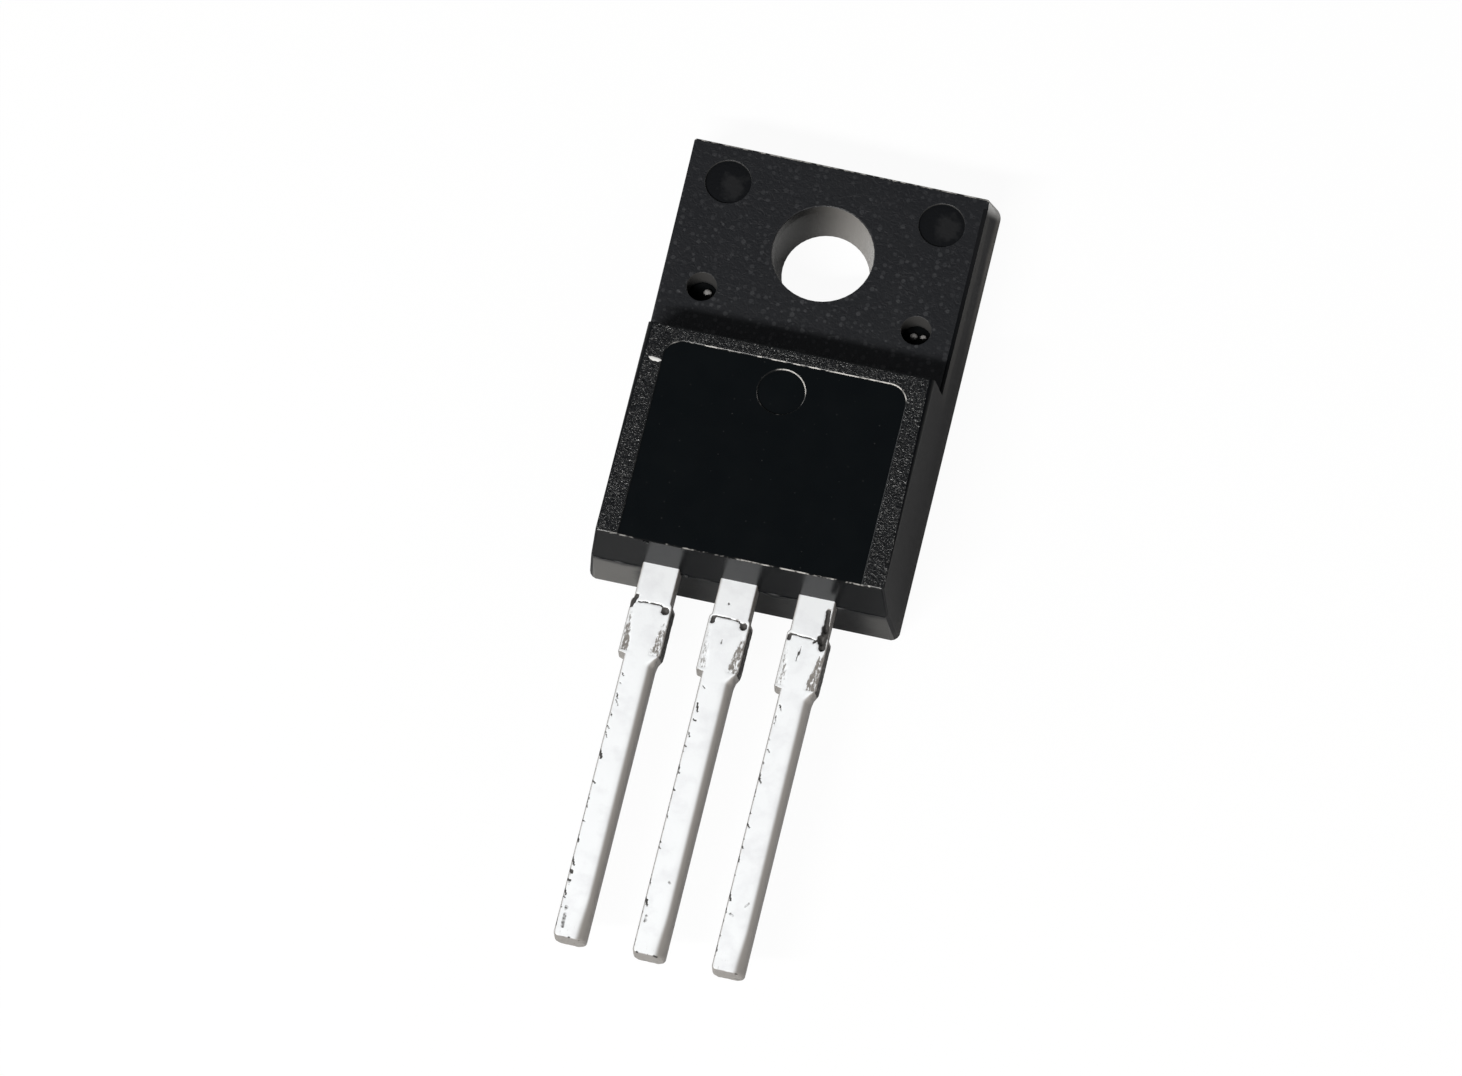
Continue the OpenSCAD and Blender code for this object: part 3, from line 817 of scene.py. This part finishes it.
def makeLeadShell(x0, name):
    v = lead
    bm = bmesh.new()
    bmesh.ops.create_cube(bm, size=1.0)
    for axis, cuts in ((1, v["rows"]), (0, v["columns"]), (2, v["layers"])):
        edges = [e for e in bm.edges if abs(abs(e.verts[0].co[axis] - e.verts[1].co[axis]) - 1.0) < 1e-4]
        bmesh.ops.subdivide_edges(bm, edges=edges, cuts=cuts, use_grid_fill=True)
    shoulderEnd = v["shoulderEnd"] + v["stepUp"][name]
    leftWear, rightWear, seed = leadWear[name]
    marks = leadMarks[name] + nicksOf(seed)
    wearLayer, scuffLayer, shearAndShadeLayer = (bm.verts.layers.float.new(n) for n in ("wear", "scuff", "shearAndShade"))
    half = v["thick"] / 2
    for w in bm.verts:
        sx, sy, sz = w.co * 2
        y = v["bodySide"] + (v["tip"] - v["bodySide"]) * (1 - sy) / 2
        leftHalf, rightHalf, leftRoll, rightRoll, lean = profileAt(y, v["stepUp"][name])
        hw, roll = (rightHalf, rightRoll) if sx > 0 else (leftHalf, leftRoll)
        roll = min(v["backRoll"] if sz < 0 else roll, hw * 0.9)
        x, z = roundSection(sx * hw, sz * half, hw, half, roll)
        onShoulder = smoothStep(shoulderEnd + 0.06, shoulderEnd + 0.12, y)
        onShoulder *= smoothStep(v["rootEnd"] + 0.02, v["rootEnd"] - 0.15, y)
        onFront = smoothStep(half * 0.6, half * 0.9, z)
        wear = scuff = 0.0
        for mark in marks if z > 0 else ():
            if abs(y - (mark[1] + mark[3]) / 2) > 1.2:
                continue
            d = segmentDistance(x, y, mark) / mark[4]
            if d < 1.3:
                z -= mark[5] * max(0.0, 1 - d * d) if sz > 0.9 or z > half * 0.5 else 0
                wear = max(wear, mark[6] * (1 - smoothStep(0.75, 1.3, d)) * onFront)
        rough = noise.noise(Vector((x + x0, y, z)) * 9.0)
        if x > 0:                                          # the sheared sides, and the rolled right edge darkened as painted shade
            rolled = smoothStep(0.30, 0.62, (x - hw + roll) / max(roll, 0.01))
            shearAndShade = rolled if sz > 0 else smoothStep(hw - 0.03, hw, x)
            x += lean * min(max((half - z) / (2 * half), 0), 1) * min(1.0, x / max(hw - roll, 0.05))
        else:
            # the left edge's thin darker outline is painted shade
            shearAndShade = smoothStep(hw - 0.065, hw - 0.015, -x)
        if onShoulder > 0 and sz > 0.99:
            right = stripOf("right", x, y)
            left = stripOf("left", -x, y) * (1 - smoothStep(*strips["leftEdge"], -x))
            scuff = onShoulder * max(rightWear * right, leftWear * left)
            z -= onShoulder * max(right, left) * strips["sink"] * (1 + rough)
        elif onShoulder > 0 and sx > 0.99:
            wear = max(wear, strips["edgeWear"] * onShoulder)
            x += strips["edgeRough"] * rough * onShoulder
        if y < v["tip"] + 0.005:
            wear, shearAndShade = max(wear, tips["dark"] + tips["darkMore"] * rough), 1.0
            y += tips["uneven"] * rough
        tipNear = smoothStep(*tips["scuffFrom"], y)
        if sz > 0.99 and tipNear > 0:
            patch = max(0.0, noise.noise(Vector((x * 3.0 + x0, y * 1.3, 1.7)))) * smoothStep(0.1, -0.3, x)
            broken = smoothStep(0.02, 0.25, noise.noise(Vector((x + x0, 0, 5.0)) * 5.0))
            scuff = max(scuff, tipNear * (tips["scuff"] + tips["scuffMore"] * patch))
            wear = max(wear, tips["darkEdge"] * smoothStep(v["tip"] + 0.09, v["tip"] + 0.03, y) * broken)
        z += 0.010 * noise.noise(Vector((x + x0, y, 0.3)) * 1.1) * smoothStep(-12, -13, y)
        w.co = Vector((x0 + x, y, v["middle"] + z)) * mm
        w[wearLayer], w[scuffLayer], w[shearAndShadeLayer] = wear, scuff, shearAndShade
    bm.normal_update()
    bmesh.ops.recalc_face_normals(bm, faces=bm.faces)
    for f in bm.faces:
        f.smooth = f.normal.y > -0.75
        if not f.smooth:
            for w in f.verts:
                w[shearAndShadeLayer] = 1.0
    return bm


def cutInside(bm):
    # Keeps what lies inside the body, closed with a flat face
    made = bmesh.ops.bisect_plane(bm, geom=list(bm.verts) + list(bm.edges) + list(bm.faces), dist=1e-8,
                                  plane_co=(0, lead["bodySide"] * mm, 0), plane_no=(0, 1, 0), clear_inner=True)
    bmesh.ops.contextual_create(bm, geom=[g for g in made["geom_cut"] if isinstance(g, bmesh.types.BMEdge)])


def makeLead(name, nodeName, pieceName, x0):
    inside = mergedCopy(nodeName)
    cutInside(inside)
    bmesh.ops.recalc_face_normals(inside, faces=inside.faces)
    insideMesh = bpy.data.meshes.new("inside")
    inside.to_mesh(insideMesh)
    inside.free()
    for layer in ("wear", "scuff", "shearAndShade"):
        insideMesh.attributes.new(layer, "FLOAT", "POINT")
    bm = makeLeadShell(x0, name)
    bm.from_mesh(insideMesh)
    bpy.data.meshes.remove(insideMesh)
    ridePiece(meshObject(bm, pieceName, [tin]), [nodeName])


makeLead("base", "base_lead", "baseLead", -2.54)
makeLead("collector", "header_and_collector", "headerAndCollector", 0.0)
makeLead("emitter", "emitter_lead", "emitterLead", 2.54)
print("leads made")


# Small marks and inner parts

# Cloudy finishes, between a low and a high colour
cloudyFinishes = {
    "fleck": {"low": (0.45, 0.44, 0.42), "high": (0.86, 0.86, 0.85)},
    # Pale domes of bare metal at the pin holes' bottom, which carry painted glints
    "bareMetalGlint": {"low": (0.16, 0.155, 0.15), "high": (0.42, 0.41, 0.40)},
    "dieSolder": {"low": (0.42, 0.42, 0.43), "high": (0.55, 0.55, 0.56), "rough": 0.35, "metallic": 0.9,
                  "scale": 4000.0, "detail": 4.0, "depth": 0.008},
    "silicon": {"low": (0.10, 0.11, 0.14), "high": (0.16, 0.16, 0.19), "rough": 0.18, "metallic": 0.3,
                "scale": 2500.0, "detail": 4.0, "depth": 0.001},
    "bondWire": {"low": (0.78, 0.79, 0.80), "high": (0.66, 0.67, 0.69), "rough": 0.30, "metallic": 1.0,
                 "scale": 9000.0, "detail": 4.0, "depth": 0.003},
}


def makeCloudy(name, low, high, rough=0.55, metallic=0.0, scale=6000.0, detail=3.0, depth=0.01):
    mat, nt, shader = newMaterial(name, low, rough, metallic=metallic)
    cloud = noiseOf(nt, objectCoords(nt), scale, detail)
    dress(nt, shader, blendOf(nt, cloud, low, high), cloud, depth)
    return mat


cloudy = {name: makeCloudy(name, **v) for name, v in cloudyFinishes.items()}


def finishPiece(bm, name, material, smoothCorners=(3, 4)):
    # Faces point outwards, and those with so many corners are smooth
    bmesh.ops.recalc_face_normals(bm, faces=bm.faces)
    for f in bm.faces:
        f.smooth = len(f.verts) in smoothCorners
    ridePiece(meshObject(bm, name, [material]))


# A small chip out of the lead end's front edge, above the base lead
nick = {"at": (-3.02, -11.60, 4.345), "wide": 0.10, "deep": 0.018, "high": 0.085, "lean": 0.03, "uneven": 0.25}


def makeEdgeNick():
    v = nick
    bm = bmesh.new()
    bmesh.ops.create_icosphere(bm, subdivisions=3, radius=1.0)
    for w in bm.verts:
        x, y, z = w.co * (1 + v["uneven"] * noise.noise(w.co * 1.7))
        w.co = (Vector(v["at"]) + Vector((v["wide"] * x - v["lean"] * z, v["deep"] * y, v["high"] * z))) * mm
    finishPiece(bm, "edgeNick", epoxy["epoxyEdge"])


# A dark film at the bottom of the two pin holes, heaped up on one side, and pale domes of bare metal that carry
# painted glints: x, y, radius and height of each
pinHole = {
    "rings": 14, "turns": 48, "radius": 0.487, "film": 0.012, "uneven": 0.02, "least": 0.004, "skirt": 0.0005,
    "heapAt": (0.16, -0.16), "heapRadius": 0.34, "heapHigh": 0.16,
    "glints": ((-3.385, -1.945, 0.130, 0.085), (3.428, -1.986, 0.120, 0.085), (3.740, -1.957, 0.100, 0.055)),
    "bareAbove": 0.11, "bareUneven": 0.12,
}


def makePinHoleFilm():
    v = pinHole
    floor, n = body["metalTop"], v["turns"]
    bm = bmesh.new()
    for side in (-1, 1):
        x0, y0 = side * body["markX"], body["pinY"]
        rings = []
        for i in range(v["rings"] + 1):
            ring = []
            for j in range(n if i else 1):
                r, t = v["radius"] * i / v["rings"], 2 * math.pi * j / n
                x, y = r * math.cos(t), r * math.sin(t)
                away = math.hypot(x - v["heapAt"][0], y - v["heapAt"][1]) / v["heapRadius"]
                z = floor + v["film"] + v["heapHigh"] * math.exp(-away * away)
                z += v["uneven"] * noise.noise(Vector((x + x0, y, 0)) * 5.0)
                ring.append(bm.verts.new(Vector((x0 + x, y0 + y, max(z, floor + v["least"]))) * mm))
            rings.append(ring)
        rings.append([bm.verts.new((*w.co.xy, (floor + v["skirt"]) * mm)) for w in rings[-1]])
        for j in range(n):
            bm.faces.new((rings[0][0], rings[1][j], rings[1][(j + 1) % n]))
        for inner, outer in zip(rings[1:], rings[2:]):
            for j in range(n):
                bm.faces.new((inner[j], outer[j], outer[(j + 1) % n], inner[(j + 1) % n]))
        bm.faces.new(rings[-1][::-1])
    finishPiece(bm, "pinHoleFilm", epoxy["epoxyFilm"])


def makeBareGlintSpots():
    v = pinHole
    bm = bmesh.new()
    for x, y, r, high in v["glints"]:
        for w in bmesh.ops.create_icosphere(bm, subdivisions=4, radius=1.0)["verts"]:
            wobble = 1 + v["bareUneven"] * noise.noise(w.co * 2.3 + Vector((x, y, 0)))
            z = body["metalTop"] + v["bareAbove"] + w.co.z * high
            w.co = Vector((x + w.co.x * r * wobble, y + w.co.y * r * wobble, z)) * mm
    finishPiece(bm, "bareMetalGlintSpots", cloudy["bareMetalGlint"])


# A pale grain of filler pressed into the border
filler = {"from": (-4.376, -5.484, 4.452), "to": (-3.971, -5.535, 4.452), "long": 0.21, "wide": 0.065,
          "high": 0.022, "bend": 0.02, "uneven": 0.22}


def makeBorderFleck():
    v = filler
    bm = bmesh.new()
    a, b = Vector(v["from"]), Vector(v["to"])
    along = (b - a).normalized()
    across = Vector((-along.y, along.x, 0))
    bmesh.ops.create_icosphere(bm, subdivisions=4, radius=1.0)
    for w in bm.verts:
        bulge = 1 + v["uneven"] * noise.noise(w.co * 1.9)
        x, y, z = w.co
        p = (a + b) / 2 + along * x * v["long"] * bulge + across * (y * v["wide"] * bulge + v["bend"] * x * x)
        w.co = (p + Vector((0, 0, v["high"] * z))) * mm
    finishPiece(bm, "borderFleck", cloudy["fleck"])


# The ragged thin flash along the parting line of the lead end, between the leads
flash = {"y": -11.8, "z": 2.604, "spans": ((-4.74, -3.17), (-1.91, -0.63), (0.63, 1.91), (3.17, 4.74)), "step": 0.035,
         "thick": 0.024, "least": 0.012, "most": 0.045, "sunk": 0.012, "droop": 0.004,
         "tongueX": -1.72, "tongueHalf": 0.06, "tongue": 0.04}


def makePartingFlash():
    v = flash
    bm = bmesh.new()
    for start, end in v["spans"]:
        count = int((end - start) / v["step"])
        rings = []
        for i in range(count + 1):
            x = start + (end - start) * i / count
            proud = v["least"] + (v["most"] - v["least"]) * max(0.0, noise.noise(Vector((x * 2.1, 0.7, 0))) + 0.35)
            if abs(x - v["tongueX"]) < v["tongueHalf"]:
                proud += v["tongue"]
            rings.append([bm.verts.new(Vector((x, v["y"] + y, v["z"] + z)) * mm) for y, z in (
                (v["sunk"], v["thick"]), (-proud, -v["droop"]), (v["sunk"], -v["thick"]))])
        for a, b in zip(rings, rings[1:]):
            for k in range(3):
                bm.faces.new((a[k], b[k], b[(k + 1) % 3], a[(k + 1) % 3]))
        bm.faces.new(rings[0])
        bm.faces.new(rings[-1][::-1])
    finishPiece(bm, "partingFlash", epoxy["epoxyEdge"], smoothCorners=())


# Where the gate was broken off, below the parting line between the collector and the emitter. The end face leans.
gate = {"x": 1.26, "z": 2.585, "radius": 0.55, "deep": 0.45, "proud": 0.035, "rings": 8, "turns": 24, "sunk": 0.01,
        "faceY": -11.8, "faceZ": 2.6, "lean": 4}


def makeGateScar():
    v = gate
    bm = bmesh.new()
    rings = []
    for i in range(v["rings"] + 1):
        ring = []
        for j in range(v["turns"] + 1):
            r, t = i / v["rings"], math.pi * j / v["turns"]
            x = v["x"] + v["radius"] * r * math.cos(t)
            z = v["z"] - v["deep"] * r * math.sin(t)
            face = v["faceY"] + math.tan(math.radians(v["lean"])) * (v["faceZ"] - z)
            lift = v["proud"] * (1 - r ** 6) * (0.75 + 0.6 * noise.noise(Vector((x * 4, z * 4, 3.1)))) + 0.001
            ring.append(bm.verts.new(Vector((x, face - lift if i < v["rings"] else face + v["sunk"], z)) * mm))
        rings.append(ring)
    for a, b in zip(rings, rings[1:]):
        for j in range(v["turns"]):
            bm.faces.new((a[j], a[j + 1], b[j + 1], b[j]))
    bmesh.ops.remove_doubles(bm, verts=bm.verts, dist=1e-8)
    bmesh.ops.holes_fill(bm, edges=[e for e in bm.edges if e.is_boundary])
    finishPiece(bm, "gateScar", epoxy["epoxyFilm"], smoothCorners=(4,))


makeEdgeNick()
makePinHoleFilm()
makeBareGlintSpots()
makeBorderFleck()
makePartingFlash()
makeGateScar()
print("small marks made")

# What the body hides keeps its solids and gets its own finishes
innerParts = {"die_attach": "dieSolder", "chip": "silicon", "base_wire": "bondWire", "emitter_wire_1": "bondWire",
              "emitter_wire_2": "bondWire"}
for node, finish in innerParts.items():
    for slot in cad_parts[node].material_slots:
        slot.material = cloudy[finish]
print("inner parts finished")

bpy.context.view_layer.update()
view = bpy.context.scene.view_settings
view.view_transform = "Standard"
